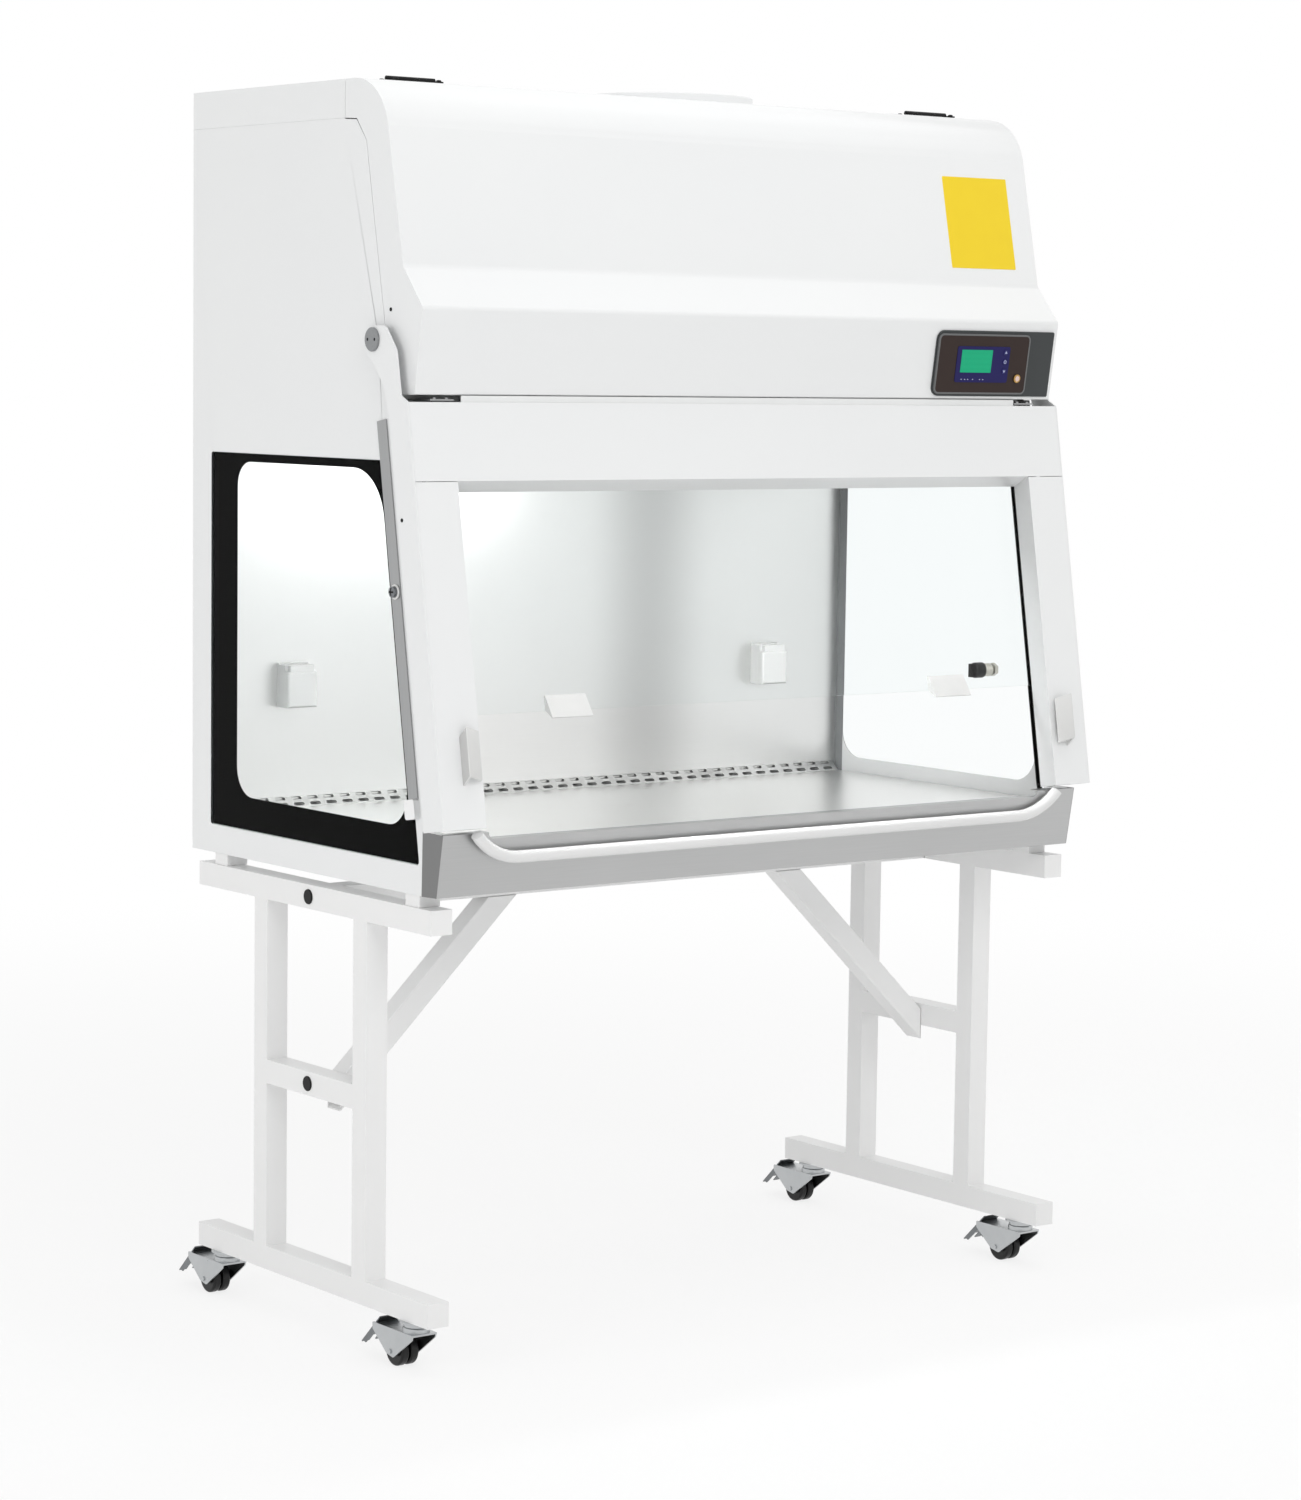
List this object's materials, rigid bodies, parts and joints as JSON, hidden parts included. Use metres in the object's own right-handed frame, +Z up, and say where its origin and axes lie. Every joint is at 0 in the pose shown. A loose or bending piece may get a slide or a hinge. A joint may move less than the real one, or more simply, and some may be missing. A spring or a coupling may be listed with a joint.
{
  "type": "biosafety cabinet on a wheeled stand",
  "caption": "Wheeled biosafety cabinet with a raked hinged front frame, sliding sash, lift-up hood, side windows, steel work chamber and open tube stand.",
  "frame": {"origin": "on the floor, midway across the cabinet's width and depth", "axes": "+X to the operator's right, +Y from the operator to the back, +Z up"},
  "size_m": [1.38, 0.8386, 2.066],
  "materials": {
    "enamel": "semi-gloss powder coat",
    "bar_enamel": "gloss enamel on a bent bar",
    "grip_plastic": "moulded, fine texture",
    "stand_paint": "powder coat",
    "stainless": "satin, brushed along the width",
    "glass": "clear toughened glass",
    "border_print": "baked black border",
    "black_plastic": "moulded",
    "black_paint": "satin",
    "grey_plastic": "moulded",
    "button_plastic": "moulded",
    "chromed": "polished",
    "plated_brass": "nickel plate",
    "filter_media": "pleated media in a stiff case",
    "galvanised": "zinc coated sheet",
    "cast_alloy": "cast and balanced",
    "zinc_plate": "bright zinc",
    "wheel_plastic": "nylon wheel"
  },
  "bodies": {
    "cabinet": {"air_grilles": "stainless", "apron": "stainless", "armrest": "bar_enamel", "back_wall": "stainless", "base_panel": "enamel", "bolt_plugs": "black_plastic", "caster_mounts": "zinc_plate", "ceiling_diffuser": "stainless", "drain_pan": "stainless", "exhaust_collar": "stainless", "fan_housing": "galvanised", "front_bulkhead": "galvanised", "front_hardware": "stainless", "hepa_filters": "filter_media", "hood_hinge_bases": "black_paint", "lamp_housing": "galvanised", "pivot_studs": "stainless", "rear_panel": "enamel", "service_valve": "plated_brass", "side_panels": "enamel", "side_windows": "glass", "socket_boxes": "grey_plastic", "spacer_blocks": "stand_paint", "stand_brace": "stand_paint", "stand_ends": "stand_paint", "top_cover": "enamel", "window_borders": "border_print"},
    "hood": {"hood_shell": "enamel", "hood_hinge_leaves": "black_paint", "control_bezel": "grey_plastic", "control_panel": "grey_plastic", "display": "black_plastic"},
    "front_frame": {"front_frame": "enamel", "grips": "grip_plastic", "sash_tracks": "black_plastic"},
    "sash": {"sash_glass": "glass", "sash_handles": "grey_plastic"},
    "lock_knob_left": {"lock_knob_left": "black_plastic"},
    "lock_knob_right": {"lock_knob_right": "black_plastic"},
    "button_up": {"button_up": "button_plastic"},
    "button_enter": {"button_enter": "button_plastic"},
    "button_down": {"button_down": "button_plastic"},
    "key_switch": {"key_switch": "chromed"},
    "socket_lid_left": {"socket_lid_left": "grey_plastic"},
    "socket_lid_right": {"socket_lid_right": "grey_plastic"},
    "service_knob": {"service_knob": "black_plastic"},
    "work_tray": {"work_tray": "stainless"},
    "fan_impeller": {"fan_impeller": "cast_alloy"},
    "caster_fork_front_left": {"caster_fork_front_left": "zinc_plate"},
    "caster_wheels_front_left": {"caster_wheels_front_left": "wheel_plastic"},
    "caster_brake_front_left": {"caster_brake_front_left": "black_plastic"},
    "caster_fork_front_right": {"caster_fork_front_right": "zinc_plate"},
    "caster_wheels_front_right": {"caster_wheels_front_right": "wheel_plastic"},
    "caster_brake_front_right": {"caster_brake_front_right": "black_plastic"},
    "caster_fork_rear_left": {"caster_fork_rear_left": "zinc_plate"},
    "caster_wheels_rear_left": {"caster_wheels_rear_left": "wheel_plastic"},
    "caster_brake_rear_left": {"caster_brake_rear_left": "black_plastic"},
    "caster_fork_rear_right": {"caster_fork_rear_right": "zinc_plate"},
    "caster_wheels_rear_right": {"caster_wheels_rear_right": "wheel_plastic"},
    "caster_brake_rear_right": {"caster_brake_rear_right": "black_plastic"}
  },
  "joints": [
    {"name": "hood_hinge", "type": "hinge", "parent": "cabinet", "child": "hood", "pos_m": [0, -0.09425, 2.05], "axis": [-1, 0, 0], "range_deg": [0, 70]},
    {"name": "frame_pivot", "type": "hinge", "parent": "cabinet", "child": "front_frame", "pos_m": [0, -0.2044, 1.635], "axis": [-1, 0, 0], "range_deg": [0, 60]},
    {"name": "sash_slide", "type": "slide", "parent": "front_frame", "child": "sash", "axis": [0, -0.1633, -0.9866], "range_m": [0, 0.172]},
    {"name": "lock_turn_left", "type": "hinge", "parent": "cabinet", "child": "lock_knob_left", "pos_m": [-0.67755, -0.25315, 1.24113], "axis": [-1, 0, 0], "range_deg": [0, 90]},
    {"name": "lock_turn_right", "type": "hinge", "parent": "cabinet", "child": "lock_knob_right", "pos_m": [0.67755, -0.25315, 1.24113], "axis": [1, 0, 0], "range_deg": [0, 90]},
    {"name": "press_up", "type": "slide", "parent": "hood", "child": "button_up", "axis": [0, 0.9886, 0.1508], "range_m": [0, 0.0008], "stiffness_N_per_m": 300},
    {"name": "press_enter", "type": "slide", "parent": "hood", "child": "button_enter", "axis": [0, 0.9886, 0.1508], "range_m": [0, 0.0008], "stiffness_N_per_m": 300},
    {"name": "press_down", "type": "slide", "parent": "hood", "child": "button_down", "axis": [0, 0.9886, 0.1508], "range_m": [0, 0.0008], "stiffness_N_per_m": 300},
    {"name": "key_turn", "type": "hinge", "parent": "hood", "child": "key_switch", "pos_m": [0.581, -0.31215, 1.58643], "axis": [0, 0.9886, 0.1508], "range_deg": [0, 90]},
    {"name": "lid_left", "type": "hinge", "parent": "cabinet", "child": "socket_lid_left", "pos_m": [-0.543, 0.24, 1.082], "axis": [-1, 0, 0], "range_deg": [0, 100]},
    {"name": "lid_right", "type": "hinge", "parent": "cabinet", "child": "socket_lid_right", "pos_m": [0.483, 0.24, 1.082], "axis": [-1, 0, 0], "range_deg": [0, 100]},
    {"name": "valve_turn", "type": "hinge", "parent": "cabinet", "child": "service_knob", "pos_m": [0.637, -0.165, 1.063], "axis": [-1, 0, 0], "range_deg": [0, 90]},
    {"name": "tray_lift", "type": "slide", "parent": "cabinet", "child": "work_tray", "axis": [0, 0, 1], "range_m": [0, 0.06]},
    {"name": "fan_spin", "type": "hinge", "parent": "cabinet", "child": "fan_impeller", "pos_m": [-0.18, 0.09, 1.66], "axis": [0, 0, 1], "continuous": true},
    {"name": "swivel_front_left", "type": "hinge", "parent": "cabinet", "child": "caster_fork_front_left", "pos_m": [-0.652, -0.297, 0.07], "axis": [0, 0, 1], "continuous": true},
    {"name": "roll_front_left", "type": "hinge", "parent": "caster_fork_front_left", "child": "caster_wheels_front_left", "pos_m": [-0.652, -0.257, 0.025], "axis": [-1, 0, 0], "continuous": true},
    {"name": "brake_front_left", "type": "hinge", "parent": "caster_fork_front_left", "child": "caster_brake_front_left", "pos_m": [-0.652, -0.21, 0.057], "axis": [-1, 0, 0], "range_deg": [0, 8]},
    {"name": "swivel_front_right", "type": "hinge", "parent": "cabinet", "child": "caster_fork_front_right", "pos_m": [0.652, -0.297, 0.07], "axis": [0, 0, 1], "continuous": true},
    {"name": "roll_front_right", "type": "hinge", "parent": "caster_fork_front_right", "child": "caster_wheels_front_right", "pos_m": [0.652, -0.257, 0.025], "axis": [-1, 0, 0], "continuous": true},
    {"name": "brake_front_right", "type": "hinge", "parent": "caster_fork_front_right", "child": "caster_brake_front_right", "pos_m": [0.652, -0.21, 0.057], "axis": [-1, 0, 0], "range_deg": [0, 8]},
    {"name": "swivel_rear_left", "type": "hinge", "parent": "cabinet", "child": "caster_fork_rear_left", "pos_m": [-0.652, 0.288, 0.07], "axis": [0, 0, 1], "continuous": true},
    {"name": "roll_rear_left", "type": "hinge", "parent": "caster_fork_rear_left", "child": "caster_wheels_rear_left", "pos_m": [-0.652, 0.328, 0.025], "axis": [-1, 0, 0], "continuous": true},
    {"name": "brake_rear_left", "type": "hinge", "parent": "caster_fork_rear_left", "child": "caster_brake_rear_left", "pos_m": [-0.652, 0.375, 0.057], "axis": [-1, 0, 0], "range_deg": [0, 8]},
    {"name": "swivel_rear_right", "type": "hinge", "parent": "cabinet", "child": "caster_fork_rear_right", "pos_m": [0.652, 0.288, 0.07], "axis": [0, 0, 1], "continuous": true},
    {"name": "roll_rear_right", "type": "hinge", "parent": "caster_fork_rear_right", "child": "caster_wheels_rear_right", "pos_m": [0.652, 0.328, 0.025], "axis": [-1, 0, 0], "continuous": true},
    {"name": "brake_rear_right", "type": "hinge", "parent": "caster_fork_rear_right", "child": "caster_brake_rear_right", "pos_m": [0.652, 0.375, 0.057], "axis": [-1, 0, 0], "range_deg": [0, 8]}
  ]
}
